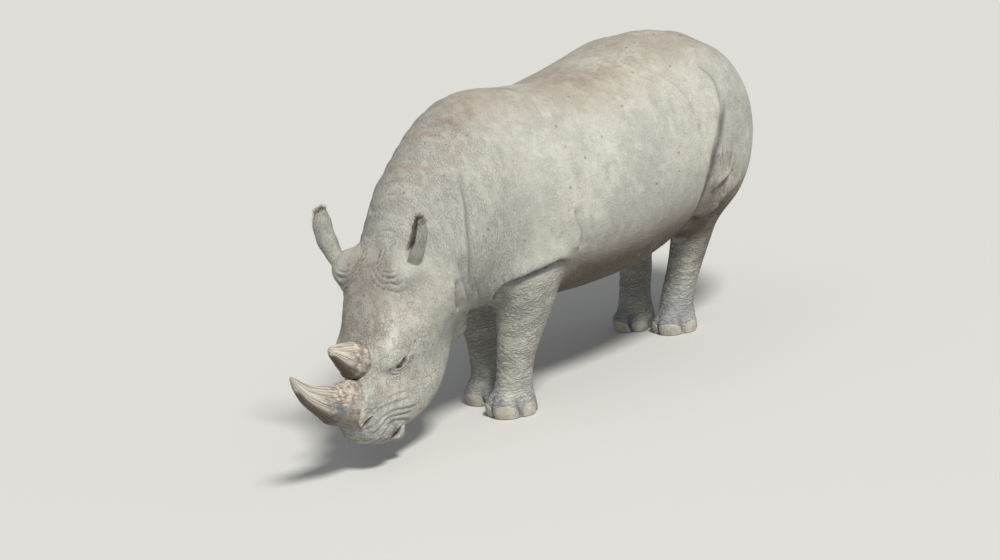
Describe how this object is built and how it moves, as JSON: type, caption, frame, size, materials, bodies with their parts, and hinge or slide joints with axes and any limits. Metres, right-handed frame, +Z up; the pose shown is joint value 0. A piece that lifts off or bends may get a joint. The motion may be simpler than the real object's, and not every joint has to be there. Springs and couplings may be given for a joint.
{
  "type": "white rhinoceros",
  "caption": "Life-size still model of a white rhinoceros standing with its head lowered to drink, bare folded hide, long front horn and short rear horn.",
  "frame": {"origin": "centre of the model's length and width, on the floor under its soles", "axes": "+Z up; the animal faces -Y and its left side is +X"},
  "size_m": [1.178, 3.7726, 1.72],
  "materials": {
    "hide": "bare wrinkled hide, matt, dusted with dry mud",
    "horn": "dry fibrous horn, matt, streaked lengthwise",
    "toenail": "worn matt toenail",
    "eye": "wet, glossy dark brown",
    "hair": "coarse short hair on ear rims and tail tip"
  },
  "bodies": {
    "root": {"head": "hide", "neck": "hide", "trunk": "hide", "leg_front_left": "hide", "leg_front_right": "hide", "leg_hind_left": "hide", "leg_hind_right": "hide", "eye_left": "eye", "eye_right": "eye", "nail_front_left_middle": "toenail", "nail_front_left_outer": "toenail", "nail_front_left_inner": "toenail", "nail_front_right_middle": "toenail", "nail_front_right_outer": "toenail", "nail_front_right_inner": "toenail", "nail_hind_left_middle": "toenail", "nail_hind_left_outer": "toenail", "nail_hind_left_inner": "toenail", "nail_hind_right_middle": "toenail", "nail_hind_right_outer": "toenail", "nail_hind_right_inner": "toenail", "horn_front": "horn", "horn_rear": "horn", "ear_left": "hide", "ear_right": "hide", "tail": "hide"}
  },
  "joints": []
}
